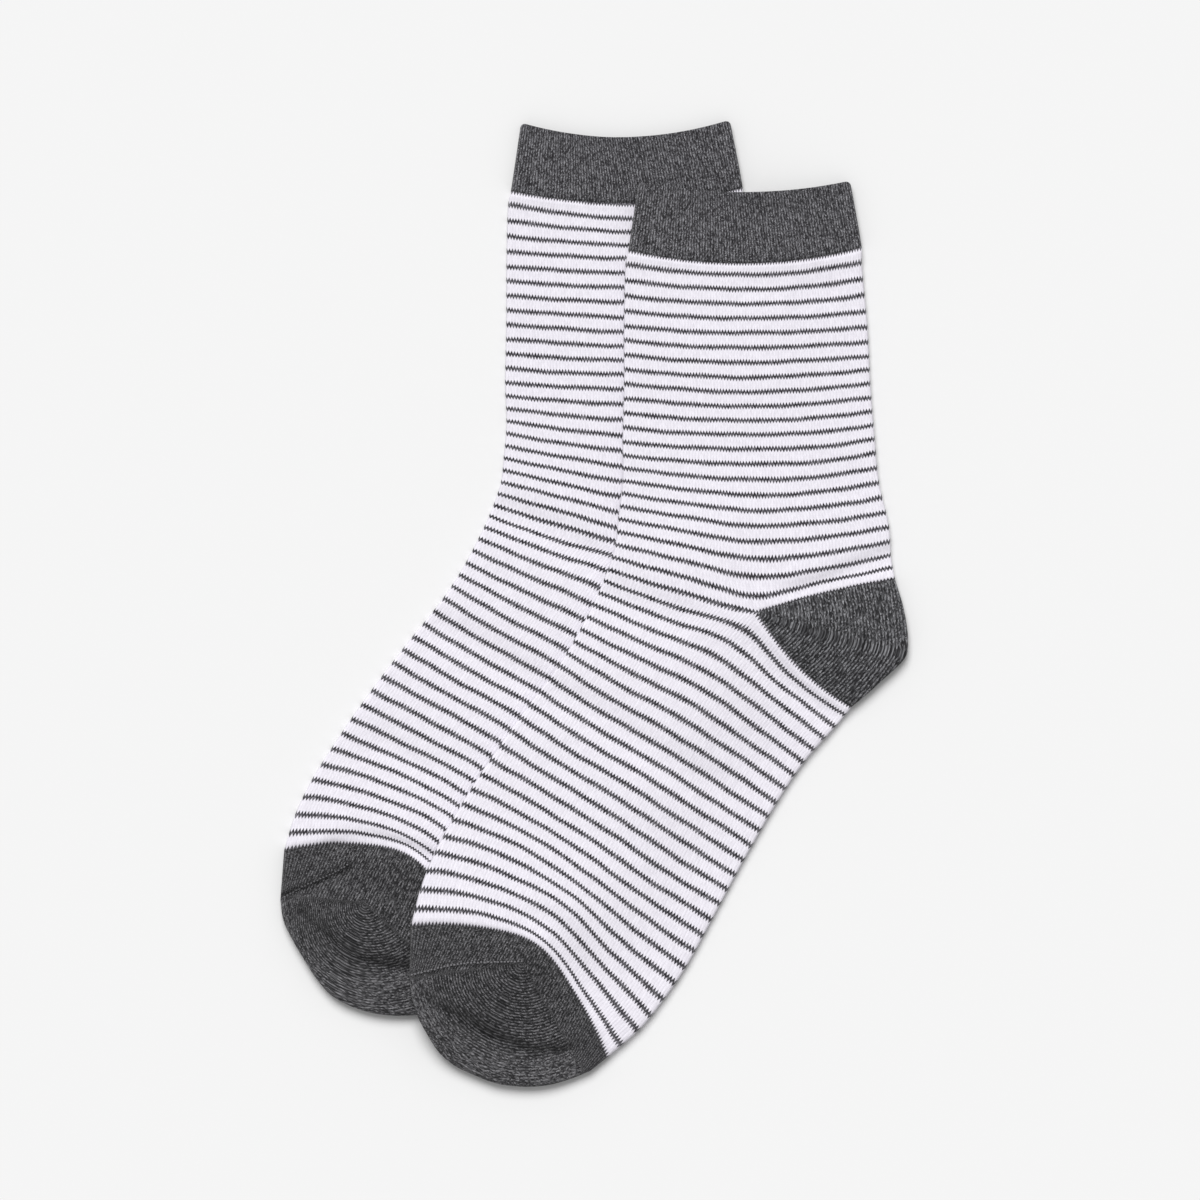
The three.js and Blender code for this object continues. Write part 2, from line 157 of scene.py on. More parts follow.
def course_of(sole_table, stripe, across):
    """A course's plan: a smooth line through its five points, with a corner in its middle at the heel."""
    past = np.clip((stripe - HEEL_START) / (HEEL_END - HEEL_START), 0, 1)[..., None]
    at_heel = ((stripe >= HEEL_START) & (stripe <= HEEL_END))[..., None]

    def instep(letter):
        start = point_on(LEG, letter, np.float64(HEEL_START))
        end = point_on(FOOT, letter, np.float64(HEEL_END))
        return np.where(at_heel, start * (1 - past) + end * past, point_on(INSTEP, letter, stripe))

    sole = [point_on(sole_table, letter, stripe) for letter in "de"]
    a, b, c, d, e = points = np.stack([instep(letter) for letter in "abc"] + sole)
    corner = 1 - step_up(np.maximum(HEEL_START - stripe, stripe - HEEL_END), 0, 0.9)[..., None]
    into = (d - b) * 2 * (1 - corner) + (a - 4 * b + 3 * c) * 2 * corner
    out_of = (d - b) * 2 * (1 - corner) + (4 * d - 3 * c - e) * 2 * corner
    return through_five(points, across, into, out_of)


def upper_place(stripe, across):
    """The plan of the upper sock: courses down the leg and the foot, at the heel a fan of bowed rows from
    the ankle corner out to the fold, and at the toe an even spread from the seam to the fold."""
    stripe, across = np.broadcast_arrays(np.asarray(stripe, float), np.asarray(across, float))
    leg = course_of(LEG, np.minimum(stripe, HEEL_START + 0.35), across)
    foot = course_of(FOOT, np.clip(stripe, HEEL_END, TOE_SEAM), across)
    plan = np.where(stripe[..., None] < HEEL_END, leg, foot)

    turn = np.clip((stripe - HEEL_START) / (HEEL_END - HEEL_START), 0, 1)
    reach = (across * 2 - 1)[..., None]
    corner = point_on(FOOT, "c", np.float64(HEEL_END))
    out = point_on(HEEL_FOLD, "", turn) - corner
    side = np.stack([-out[..., 1], out[..., 0]], -1) / np.linalg.norm(out, axis=-1, keepdims=True)
    bow = (HEEL_BOW[0] * (1 - turn) + HEEL_BOW[1] * turn)[..., None] * 4 * reach * (1 - reach)
    fan = corner + out * reach + side * bow
    for edge, table, row in ((0.0, LEG, HEEL_START), (1.0, FOOT, HEEL_END)):
        out = point_on(HEEL_FOLD, "", edge) - corner
        side = np.array([-out[1], out[0]]) / np.hypot(*out)
        edge_fan = corner + out * reach + side * HEEL_BOW[int(edge)] * 4 * reach * (1 - reach)
        share = np.clip(1 - abs(turn - edge), 0, 1)[..., None]
        seam = course_of(table, np.full(stripe.shape, row), np.maximum(across, 0.5))
        fan = fan + (seam - edge_fan) * share
    at_heel = (stripe >= HEEL_START) & (stripe <= HEEL_END)
    plan = np.where((at_heel & (across > 0.5))[..., None], fan, plan)
    left = course_of(LEG, stripe, np.minimum(across, 0.5))
    plan = np.where((at_heel & (across <= 0.5))[..., None], left, plan)

    spread = np.clip((stripe - TOE_SEAM) / (TOE_TIP - TOE_SEAM), 0, 1)[..., None]
    return plan * (1 - spread) + point_on(TOE_FOLD, "", across) * spread


def lower_place(stripe, across):
    """The plan of the lower sock: the upper one's, moved aside by amounts that change slowly along it, and
    spread from the toe seam to a fuller toe."""
    stripe, across = np.broadcast_arrays(np.asarray(stripe, float), np.asarray(across, float))
    course = np.minimum(stripe, TOE_SEAM)
    plan = upper_place(course, across)
    held = course - np.clip(course - HEEL_START, 0, HEEL_END - HEEL_START)
    plan = plan + through_three(*(point_on(LOWER_SHIFT, letter, held) for letter in "ace"), across)
    spread = np.clip((stripe - TOE_SEAM) / (TOE_TIP - TOE_SEAM), 0, 1)[..., None]
    return plan * (1 - spread) + point_on(LOWER_TOE_FOLD, "", across) * spread


def nearest(line, plan):
    """From each place to a line of points: how far it is, the direction of the line's nearest stretch, on
    which side of it the place lies, and its share of the line's length."""
    flat = plan.reshape(-1, 2)
    lengths = np.concatenate([[0], np.cumsum(np.hypot(*np.diff(line, axis=0).T))])
    best = np.full(len(flat), np.inf)
    along = np.zeros((len(flat), 2))
    side = np.zeros(len(flat))
    share = np.zeros(len(flat))
    for i, (start, end) in enumerate(zip(line[:-1], line[1:])):
        step = end - start
        u = np.clip(((flat - start) @ step) / (step @ step), 0, 1)
        off = flat - start - u[:, None] * step
        distance = np.hypot(off[:, 0], off[:, 1])
        closer = distance < best
        best = np.where(closer, distance, best)
        along[closer] = step / np.hypot(*step)
        side = np.where(closer, np.sign(step[0] * off[:, 1] - step[1] * off[:, 0]), side)
        share = np.where(closer, (lengths[i] + u * np.hypot(*step)) / lengths[-1], share)
    shape = plan.shape[:-1]
    return best.reshape(shape), along.reshape(plan.shape), side.reshape(shape), share.reshape(shape)


def fold_line(place):
    """The fold that closes a sock, down the instep, round the toe and back up the sole and heel."""
    down = np.concatenate([
        np.arange(CUFF_TOP, HEEL_START, 0.4), np.linspace(HEEL_START, HEEL_END, 14),
        np.arange(HEEL_END + 0.4, TOE_SEAM, 0.4), np.linspace(TOE_SEAM, TOE_TIP, 9),
    ])
    tip = place(TOE_TIP, np.linspace(0, 1, 60)[1:-1])
    line = np.concatenate([place(down, 0.0), tip, place(down[::-1], 1.0)])
    ends = line[0] + (line[0] - line[1]) * 20, line[-1] + (line[-1] - line[-2]) * 20
    return np.concatenate([[ends[0]], line, [ends[1]]])


# Creases and soft ridges of the cloth. Each has its depth, less than nothing for a ridge, its width to the
# left and to the right of its line, and the line's points.
UPPER_CREASES = [
    (2.5, 2.3, 5.4, [(-66, -131), (-53.7, -139.5), (-43.6, -144.2), (-36.7, -148), (-28.8, -152.1),
                     (-18.8, -155.2), (-9.8, -154.6), (2, -150)]),
    (1.6, 0.7, 2.6, [(-58, -137.5), (-50, -141), (-43.6, -144.2), (-36.7, -148), (-28.8, -152.1),
                     (-18, -155.2)]),
    (-1.2, 6.0, 1.8, [(-58, -130), (-50, -135.5), (-41.5, -140.5), (-35, -144.6), (-27.5, -149),
                      (-18.5, -152), (-9.5, -151.4), (0, -147)]),
    (1.3, 1.4, 2.8, [(-36, -126), (-29, -128.5), (-24, -131.5)]),
    (0.9, 2.4, 2.4, [(-18.5, -127), (-15.5, -134), (-13, -141)]),
    (-0.6, 3.0, 3.0, [(-28, -118.5), (-16.5, -123.5), (-11, -131.5), (-5.5, -142)]),
    (0.8, 0.5, 1.4, [(-66, -129.2), (-50.2, -125.8), (-43.7, -124.8), (-33.8, -124.5), (-22, -124.3)]),
    (-0.9, 3.6, 4.0, [(66, -1), (85.5, -5), (90.5, -7), (99, -11)]),
    (1.6, 2.2, 9.0, [(60, 3), (72, 5.5), (85, 10.5), (98, 16.5), (110, 20)]),
    (1.6, 2.0, 6.0, [(50, -5), (61, -18.5), (71.5, -28.8), (84, -38), (92, -43)]),
    (1.0, 6.0, 9.0, [(-8, 9), (10, 1.5), (26, -3), (40, -6)]),
    (0.9, 4.5, 7.5, [(-24, -23.5), (2, -38.5), (23, -51.5), (53, -69)]),
    (0.5, 7.0, 8.0, [(-16, -44), (-2, -60), (8, -78), (14, -92)]),
    (1.1, 4.0, 4.0, [(-26, -104), (-12, -111), (-3, -126), (3, -148)]),
    (0.5, 3.5, 5.0, [(50, 108), (58, 111), (66, 107)]),
    (0.6, 3.5, 5.0, [(68, 106.5), (76, 109), (84, 105.5)]),
]
LOWER_CREASES = [
    (2.6, 1.9, 4.8, [(-107, -99), (-100, -107), (-94.4, -112.8), (-84.5, -121), (-78, -123.5), (-72, -125),
                     (-54, -126.5)]),
    (1.5, 0.7, 2.4, [(-98, -109), (-84.5, -121), (-78, -123.5), (-72, -125), (-58, -126.3)]),
    (-1.0, 6.0, 1.8, [(-98, -101), (-91, -109), (-82, -116.5), (-76, -119), (-70, -120.5), (-56, -121.5)]),
    (1.4, 3.6, 2.2, [(-88, -95), (-77, -98.5), (-68, -102.5)]),
    (2.7, 1.1, 2.6, [(-112, -103), (-102, -98.9), (-98, -97.4), (-92.5, -94.9), (-80, -89)]),
    (1.6, 2.0, 3.0, [(-98, -84.5), (-84, -81), (-75.5, -81), (-65, -83.5), (-48, -90)]),
    (1.2, 5.0, 8.0, [(-40, 36), (-20, 28.5), (-4, 20), (8, 12)]),
    (0.9, 4.5, 7.0, [(-66, -1), (-42, -13), (-20, -26), (-8, -33)]),
    (0.6, 5.0, 6.0, [(-78, -44), (-66, -52), (-54, -62)]),
]


def pressed(creases, plan, most):
    """How deep the top layer is pressed: the sum over the creases of depth times a bell, which falls with
    the square of the distance over the width. A crease runs out over the first and the last fifth of its
    length, and the sum levels off within half a millimetre past most."""
    depth = np.zeros(plan.shape[:-1])
    for deep, left, right, line in creases:
        distance, along, side, share = nearest(np.array(line, float), plan)
        width = np.where(side > 0, left, right)
        depth += deep * step_up(0.5 - abs(share - 0.5), 0, 0.2) * np.exp(-((distance / width) ** 2))
    return np.minimum(depth, most - 0.5 * np.exp(-np.maximum(depth - most, 0)) + 0.5)


SOCKS = {
    "lower": {"place": lower_place, "creases": LOWER_CREASES},
    "upper": {"place": upper_place, "creases": UPPER_CREASES},
}
for sock in SOCKS.values():
    sock["fold"] = fold_line(sock["place"])
    sock["toe"] = sock["place"]((TOE_SEAM + TOE_TIP) / 2, 0.45)
    sock["heel"] = sock["place"]((HEEL_START + HEEL_END) / 2, 0.85)
    sock["cuff"] = sock["place"](CUFF_SEAM, 0.5)


LEG_THICKNESS = 3.6
TOE_MORE, TOE_RADIUS = 2.0, 42
HEEL_MORE, HEEL_RADIUS = 1.4, 32
CUFF_MORE = 0.8


def thickness_at(sock, plan):
    """Thickness of both layers together: even on leg and foot, fuller round the toe, heel and cuff."""
    def near(centre, radius):
        return np.exp(-((np.linalg.norm(plan - centre, axis=-1) / radius) ** 4))
    cuff = step_up(plan[..., 1], sock["cuff"][1] - 3, sock["cuff"][1] + 3)
    toe, heel = near(sock["toe"], TOE_RADIUS), near(sock["heel"], HEEL_RADIUS)
    return LEG_THICKNESS + TOE_MORE * toe + HEEL_MORE * heel + CUFF_MORE * cuff


SOCK_GAP = 0.35
DRAPE_START, LEG_DRAPE, TOE_DRAPE, TOE_DRAPE_RADIUS = 2, 42, 20, 40


def carried(plan):
    """How high the upper sock lies: on the lower sock's thickness, then a smooth step down beside it to
    the table, which is wide along the leg and narrow at the toe."""
    distance, along, side, share = nearest(SOCKS["lower"]["fold"], plan)
    beside = np.where(side > 0, 0, distance)
    from_toe = np.linalg.norm(plan - SOCKS["upper"]["toe"], axis=-1)
    at_toe = np.exp(-((from_toe / TOE_DRAPE_RADIUS) ** 4))
    drape = LEG_DRAPE - (LEG_DRAPE - TOE_DRAPE) * at_toe
    return (thickness_at(SOCKS["lower"], plan) + SOCK_GAP) * (1 - step_up(beside, DRAPE_START, drape))


# The plan's point over the origin, the cuff's corners and brim, whose widths are in millimetres and depths
# in stripes, the least thickness that creases leave before they level off, and the height of the waves.
CENTRE = np.array([0.25, 0.32])
CUFF_WIDTH, CORNER_WIDTH, CORNER_DEPTH, CORNER_FADE = 79, 1.9, 0.37, 1.6
BRIM_RADIUS, BRIM_DEPTH = 0.45, 0.12
LEAST_THICKNESS = 2.6
WAVE_HEIGHT = 0.12


def skin(name, stripe, across, top):
    """Points of a sock's outer skin, in metres. From the fold it rises, or falls, by the cube root of 1
    less the cube of how far it leans to the fold, and it is flat between folds but for creases and waves.
    The cuff's two corners are quarter circles in plan, and its brim one in section."""
    sock = SOCKS[name]
    stripe, across = np.broadcast_arrays(np.asarray(stripe, float), np.asarray(across, float))
    corner = np.clip(1 - np.minimum(across, 1 - across) * CUFF_WIDTH / CORNER_WIDTH, 0, 1)
    dip = CORNER_DEPTH * (1 - np.sqrt(1 - corner**2))
    stripe = stripe + dip * np.clip(1 - (stripe - CUFF_TOP) / CORNER_FADE, 0, 1)
    plan = sock["place"](stripe, across)
    half = thickness_at(sock, plan) / 2
    distance, along, side, share = nearest(sock["fold"], plan)
    on_fold = (across <= 0) | (across >= 1) | (stripe >= TOE_TIP)
    lean = np.where(on_fold, 1, 1 - np.clip(distance / half, 0, 1))
    rise = (1 - lean**3) ** (1 / 3)
    to_brim = 1 - np.clip((stripe - CUFF_TOP) / BRIM_DEPTH, 0, 1)
    lip = BRIM_RADIUS * (1 - np.sqrt(1 - to_brim**2))
    x, y = plan[..., 0], plan[..., 1]
    wave = WAVE_HEIGHT * (np.sin(x / 9 + y / 14) * np.sin(y / 11 - x / 17) - 1)
    upward = half - pressed(sock["creases"], plan, 2 * half - LEAST_THICKNESS) + wave - lip
    height = np.where(top, half + upward * rise, half - (half - lip) * rise)
    inward = np.stack([-along[..., 1], along[..., 0]], -1) * (lip * lean)[..., None]
    lift = carried(plan) if name == "upper" else 0
    return np.concatenate([plan + inward - CENTRE, (height + lift)[..., None]], -1) / 1000


FOLD_ANGLES = np.radians([0, 14, 28, 42, 57, 73, 90])
FOLD_REACH = 1.9


def across_steps(name, stripe, first=0.0, count=44):
    """How far across each column lies on every course: at the angles of a quarter circle in the folds,
    and evenly between them. A course that starts in its middle, as the heel's do, starts at first."""
    place = SOCKS[name]["place"]
    near = FOLD_REACH * (1 - np.cos(FOLD_ANGLES))
    middle = place(stripe, 0.5)
    widths = [np.linalg.norm(place(stripe, side) - middle, axis=-1)[:, None] * 2 for side in (0.0, 1.0)]
    inner = np.linspace(0, 1, count + 1)
    inner = inner[(inner > 0.035) & (inner < 0.965)]
    inner = np.broadcast_to(inner, (len(stripe), len(inner)))
    steps = np.concatenate([near / widths[0], inner, 1 - near[::-1] / widths[1]], 1)
    if first:
        steps = np.concatenate([np.full((len(stripe), 1), first), steps[:, steps[0] > first + 0.005]], 1)
    return steps


def cloth(name, vertices, faces, uvs, wall):
    """A mesh from a grid of outer points, merged where rows meet and given its wall inwards."""
    mesh = bpy.data.meshes.new(name)
    mesh.from_pydata(vertices.tolist(), [], faces.tolist())
    for layer, values in uvs.items():
        uv = mesh.uv_layers.new(name=layer)
        uv.data.foreach_set("uv", values.reshape(-1).astype(np.float32))
    mesh.polygons.foreach_set("use_smooth", np.ones(len(mesh.polygons), bool))
    piece = bpy.data.objects.new(name, mesh)
    bpy.context.scene.collection.objects.link(piece)
    weld = piece.modifiers.new("weld", "WELD")
    weld.merge_threshold = 0.000002
    solid = piece.modifiers.new("wall", "SOLIDIFY")
    solid.thickness, solid.offset, solid.use_even_offset = wall / 1000, -1, True
    bpy.context.view_layer.objects.active = piece
    piece.select_set(True)
    for modifier in ("weld", "wall"):
        bpy.ops.object.modifier_apply(modifier=modifier)
    piece.select_set(False)
    return piece


def ring_faces(rows, count, keep, closed=True):
    """Quads between neighbouring rows and columns of a grid, in a ring where it is closed."""
    row, column = np.meshgrid(np.arange(rows - 1), np.arange(count if closed else count - 1), indexing="ij")
    beside = (column + 1) % count
    here, below = row * count, (row + 1) * count
    quads = np.stack([here + column, below + column, below + beside, here + beside], -1)
    return quads[keep(row, column)] if keep else quads.reshape(-1, 4)


COURSES_A_STRIPE = 7
WALES = 84


# Where each numbered stripe lies across the sock, in the courses that the plan is drawn with: from the
# instep fold to the sole fold in quarters. They are the same elsewhere.
HEEL_STRIPES = [
    [-6, -6, -6, -6, -6, -6], [22, 22, 22, 22, 22, 22], [22.05, 22.05, 22.1, 22.7, 22.7, 22.7],
    [23, 23.02, 23.15, 23.42, 23.3, 23.34], [24, 24.14, 24.08, 24.02, 23.96, 24.3],
    [25, 25.08, 25.04, 24.98, 24.87, 25.24], [26, 26.02, 26, 26, 25.87, 26.2],
    [28, 28, 27.98, 28, 27.93, 28.12], [31, 31.03, 31, 31, 31, 31.1], [46.9, 46.9, 46.9, 46.9, 46.9, 46.9],
]
SOCKS["upper"]["stripes"] = HEEL_STRIPES + [
    [36, 35.97, 36, 36, 36, 36.07], [42, 42.06, 42, 42.1, 42, 42.07], [45, 45.14, 45, 45, 45, 45.16],
    [46, 46.1, 46, 46.1, 46.2, 46.12],
]
SOCKS["lower"]["stripes"] = HEEL_STRIPES + [
    [0, -0.04, 0.15, 0.35, 0.2, 0], [3, 3, 3.02, 3.1, 3, 3], [36, 35.97, 36.06, 36.05, 36, 36],
    [40, 40, 40.36, 40.2, 40.2, 40], [43, 43.06, 43.3, 43.4, 43.2, 43], [45, 45.06, 45.28, 45.3, 45.1, 45],
    [46, 46.02, 46.12, 46, 46, 46],
]


def stripe_number(name, stripe, across):
    """The number of the stripe that is knitted at a place: read off the table, with three slight waves."""
    table = np.array(sorted(SOCKS[name]["stripes"])).T
    at_quarters = np.stack([np.interp(stripe, knots, table[0]) for knots in table[1:]])
    number = through_five(at_quarters[..., None], across)[..., 0]
    wave = np.sin(across * 17 + stripe * 1.3) + np.sin(across * 31 - stripe * 2.3)
    wave = wave + np.sin(across * 57 + stripe * 4.1)
    return number + 0.016 * wave


def ring(name, stripe, across):
    """A tube's grid: over the top layer from fold to fold and back under through the bottom layer."""
    back = across[:, -2:0:-1]
    top = skin(name, stripe[:, None], across, True)
    bottom = skin(name, stripe[:, None], back, False)
    points = np.concatenate([top, bottom], 1)
    wale = np.concatenate([across, 2 - back, 2 + across[:, :1]], 1) * WALES
    around = np.concatenate([across, back, across[:, :1]], 1)
    rows = np.broadcast_to(stripe[:, None], wale.shape)
    uvs = {
        "knit": np.stack([wale, stripe_number(name, rows, around) * COURSES_A_STRIPE], -1),
        "place": np.stack([wale, rows * COURSES_A_STRIPE], -1),
    }
    return points, uvs


def corner_uvs(faces, uvs, count):
    """UVs of each face corner, with the last column's corners taken past the end of the ring."""
    row, column = faces // count, faces % count
    wraps = (column == 0) & (column.max(axis=1, keepdims=True) == count - 1)
    return {layer: values[row, np.where(wraps, count, column)] for layer, values in uvs.items()}


def body_piece(name):
    """The body's shell: rows from the cuff seam to the toe seam, with the heel's half of them left open."""
    leg = np.arange(CUFF_SEAM, HEEL_START - 0.1, 0.38)
    heel = np.array([HEEL_START, HEEL_START + 0.35, HEEL_END])
    foot = np.arange(HEEL_END + 0.38, TOE_SEAM - 0.1, 0.36)
    stripe = np.concatenate([leg, heel, foot, [TOE_SEAM]])
    across = across_steps(name, stripe)
    points, uvs = ring(name, stripe, across)
    rows, count = points.shape[:2]
    width = across.shape[1]
    middle = int(np.argmin(abs(across[0] - 0.5)))
    opening = len(leg), len(leg) + 2

    def keep(row, column):
        in_heel = (row >= opening[0]) & (row < opening[1])
        far = (column >= middle) & (column < 2 * (width - 1) - middle)
        return ~(in_heel & far)

    faces = ring_faces(rows, count, keep)
    return cloth(f"{name}_sock_body_knit", points.reshape(-1, 3), faces, corner_uvs(faces, uvs, count), 1.2)


class Shade:
    """A shader socket that takes part in Python arithmetic: each operator adds its Math node."""

    def __init__(self, tree, socket=None):
        self.tree, self.socket = tree, socket

    def made(self, kind, sockets, output=0, **settings):
        """Any node, from its type, its settings and the values or links of its sockets."""
        node = self.tree.nodes.new(kind)
        for name, value in settings.items():
            setattr(node, name, value)
        for key, value in sockets.items():
            if isinstance(value, Shade):
                self.tree.links.new(value.socket, node.inputs[key])
            else:
                node.inputs[key].default_value = value
        return Shade(self.tree, node.outputs[output])

    def math(self, operation, *values):
        return self.made("ShaderNodeMath", dict(enumerate(values)), operation=operation)

    def __add__(self, other):
        return self.math("ADD", self, other)

    def __sub__(self, other):
        return self.math("SUBTRACT", self, other)

    def __rsub__(self, other):
        return self.math("SUBTRACT", other, self)

    def __mul__(self, other):
        return self.math("MULTIPLY", self, other)

    def __abs__(self):
        return self.math("ABSOLUTE", self)

    def __gt__(self, other):
        return self.math("GREATER_THAN", self, other)

    def __lt__(self, other):
        return self.math("LESS_THAN", self, other)

    def __and__(self, other):
        return self.math("MULTIPLY", self, other)

    def __or__(self, other):
        return self.math("MAXIMUM", self, other)

    __radd__, __rmul__ = __add__, __mul__

    def part(self):
        return self.math("FRACT", self)

    def whole(self):
        return self.math("FLOOR", self)

    def rising(self, low, high):
        """0 below low, 1 above high and a smooth rise between."""
        sockets = {"Value": self, "From Min": low, "From Max": high, "To Min": 0.0, "To Max": 1.0}
        return self.made("ShaderNodeMapRange", sockets, interpolation_type="SMOOTHSTEP")

    def mix(self, first, second):
        """A colour between two others, by this factor."""
        return self.made("ShaderNodeMix", {0: self, 6: first, 7: second}, 2, data_type="RGBA")


# How far a loop's arms rise from the middle to the side of a wale, in courses.
TOOTH = 1.45


def grey(red, green, blue):
    """A colour from the values that a screen shows, 0 to 255."""
    return tuple(((c / 255 + 0.055) / 1.055) ** 2.4 for c in (red, green, blue)) + (1,)


def knit_material(name, dyed, dark_yarn, light_yarn, groove_shade, relief_strength):
    """Plain knit: every wale is a column of V shaped loops, whose arms rise from its middle to its sides.
    Melange is a mix of dark and light yarn by two random numbers, one for each arm and one for each dot,
    with painted shade in the grooves between wales, as strong as the fifth argument or, where that is
    None, the piece's own UV layer gives. White yarn has painted shade in the hollows of its loops and a
    random tone for each arm. dyed says where a striped cloth is charcoal."""
    material = bpy.data.materials.new(name)
    material.use_nodes = True
    tree = material.node_tree
    shader = tree.nodes["Principled BSDF"]
    start = Shade(tree)

    def coordinate(layer, axis):
        """One coordinate of a UV layer."""
        uv = start.made("ShaderNodeUVMap", {}, uv_map=layer)
        return start.made("ShaderNodeSeparateXYZ", {0: uv}, axis)

    def chance(column, row):
        """A random number for each cell of whole columns and rows."""
        cell = start.made("ShaderNodeCombineXYZ", {0: column.whole(), 1: row.whole(), 2: 0.0})
        return start.made("ShaderNodeTexWhiteNoise", {"Vector": cell}, noise_dimensions="2D")

    wale, course = coordinate("knit", 0), coordinate("knit", 1)
    from_middle = abs(wale.part() - 0.5) * 2
    loop = course + from_middle * TOOTH
    across_loop = loop.part() * 2 - 1
    relief = (1 - from_middle * from_middle) * (1 - across_loop * across_loop * 0.5)
    # How strong the painted shade in the grooves between wales is, from the piece's UV layer when none is
    # given.
    if groove_shade is None:
        groove_shade = coordinate("groove_shade", 0)
    dot_row = (course * 2).whole()
    arms, dots = chance(wale * 2, loop), chance(wale * 3 + dot_row * 0.5, dot_row)
    fleck = arms * arms * arms * 0.75 + dots * dots * dots * dots + 0.06
    # Painted shade: the dark yarn is darker towards the sides of each wale, in the grooves between wales.
    dark = (fleck * (1 - groove_shade * from_middle)).mix(dark_yarn, light_yarn)
    # Painted shade: the white yarn is darker in the hollows of its loops, by relief and across_loop, and
    # arms give it a random tone.
    tone = relief * 0.3 + (1 - across_loop * across_loop) * 0.3 + arms * 0.4
    light = tone.mix(grey(206, 202, 211), grey(241, 238, 246))
    colour = dark
    if dyed:
        row = coordinate("place", 1)
        colour = dyed(wale, loop, row, row + from_middle * TOOTH).mix(light, dark)
    tree.links.new(colour.socket, shader.inputs["Base Color"])
    bump = start.made("ShaderNodeBump", {"Height": relief, "Distance": 0.0004, "Strength": relief_strength})
    tree.links.new(bump.socket, shader.inputs["Normal"])
    shader.inputs["Roughness"].default_value = 0.92
    shader.inputs["Specular IOR Level"].default_value = 0.15
    shader.inputs["Sheen Weight"].default_value = 0.12
    shader.inputs["Sheen Roughness"].default_value = 0.5
    return material


def striped(wale, loop, row, row_loop):
    """Two charcoal courses in seven, and charcoal teeth where the body meets the cuff, heel and toe.
    loop and row_loop are the course of a loop's middle, by the drawn stripes and by the seams."""
    half_band = 0.98
    centred = (loop * (1 / COURSES_A_STRIPE) + (0.5 - TOOTH / 2 / COURSES_A_STRIPE)).part() - 0.5
    stripe = 1 - abs(centred * COURSES_A_STRIPE).rising(half_band - 0.15, half_band + 0.15)
    leg_end, foot_start = HEEL_START * COURSES_A_STRIPE, HEEL_END * COURSES_A_STRIPE
    sole_half = (wale > WALES * 0.5) & (wale < WALES * 1.5)
    middle = (leg_end + foot_start) / 2
    above = (row_loop > leg_end) & (row < middle)
    below = (row_loop < foot_start + TOOTH) & (row > middle)
    heel_teeth = sole_half & (above | below)
    cuff_teeth = row_loop < CUFF_SEAM * COURSES_A_STRIPE + TOOTH
    return stripe | heel_teeth | cuff_teeth | (row_loop > TOE_SEAM * COURSES_A_STRIPE)


# 0.4 is how strong the painted shade in the grooves between wales is.
body_knit = knit_material("striped_knit", striped, grey(28, 26, 31), grey(130, 128, 134), 0.4, 0.3)
for name in SOCKS:
    body = body_piece(name)
    body.data.materials.append(body_knit)
    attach(body, "root")
    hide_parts(f"{name}_sock_body")


# The cuff: a doubled charcoal welt, knitted with elastic and turned in on itself at the top.
# It is thicker than the leg and pulls its top edge in a little.


def cuff_piece(name):
    """The cuff's shell: rows from the rounded brim, where they lie close together, to the body's seam."""
    brim = CUFF_TOP + BRIM_DEPTH * (1 - np.cos(FOLD_ANGLES))
    stripe = np.concatenate([brim, np.arange(CUFF_TOP + 0.36, CUFF_SEAM - 0.1, 0.3), [CUFF_SEAM]])
    points, uvs = ring(name, stripe, across_steps(name, stripe))
    rows, count = points.shape[:2]
    faces = ring_faces(rows, count, None)
    return cloth(f"{name}_sock_cuff_welt", points.reshape(-1, 3), faces, corner_uvs(faces, uvs, count), 1.5)


# 0.85 is how strong the painted shade in the grooves between wales is.
cuff_knit = knit_material("cuff_knit", None, grey(18, 17, 20), grey(162, 161, 166), 0.85, 0.8)
for name in SOCKS:
    cuff = cuff_piece(name)
    cuff.data.materials.append(cuff_knit)
    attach(cuff, "root")
    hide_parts(f"{name}_sock_cuff")


# The heel: a charcoal pouch of short rows. Its courses run beside each of its two seams and meet in a
# mitre down its middle, so its wales turn round the ankle corner.


HEEL_WALE, COURSE_HEIGHT = 1.12, 0.74
HEEL_SPREAD = math.radians(58)
MITRE_ROUNDING = 0.02


def heel_piece(name):
    """The heel's shell: rows that turn round the ankle corner from one seam to the other. Its courses count
    the distance from the nearer seam, and its wales the way along that seam."""
    turn = np.linspace(0, 1, 33)
    stripe = HEEL_START + (HEEL_END - HEEL_START) * turn
    across = across_steps(name, stripe, first=0.5)
    back = across[:, -2::-1]
    top = skin(name, stripe[:, None], across, True)
    bottom = skin(name, stripe[:, None], back, False)
    points = np.concatenate([top, bottom], 1)
    rows, count = points.shape[:2]
    plan = points[..., :2] * 1000
    corner = plan[0, 0]
    reach = np.linalg.norm(plan - corner, axis=-1)
    from_seam = (0.5 - np.sqrt((turn[:, None] - 0.5) ** 2 + MITRE_ROUNDING)) * HEEL_SPREAD
    knit = np.stack([reach * np.cos(from_seam) / HEEL_WALE, reach * np.sin(from_seam) / COURSE_HEIGHT], -1)
    # Painted shade in the grooves between wales, stronger on the rows near the foot's seam.
    groove_shade = np.broadcast_to(0.85 + 0.15 * step_up(turn, 0.3, 0.75)[:, None], reach.shape)
    groove_shade = np.stack([groove_shade, groove_shade], -1)
    uvs = {layer: values.reshape(-1, 2) for layer, values in (("knit", knit), ("groove_shade", groove_shade))}
    faces = ring_faces(rows, count, None, closed=False)
    corners = {layer: values[faces] for layer, values in uvs.items()}
    return cloth(f"{name}_sock_heel_pouch", points.reshape(-1, 3), faces, corners, 1.2)


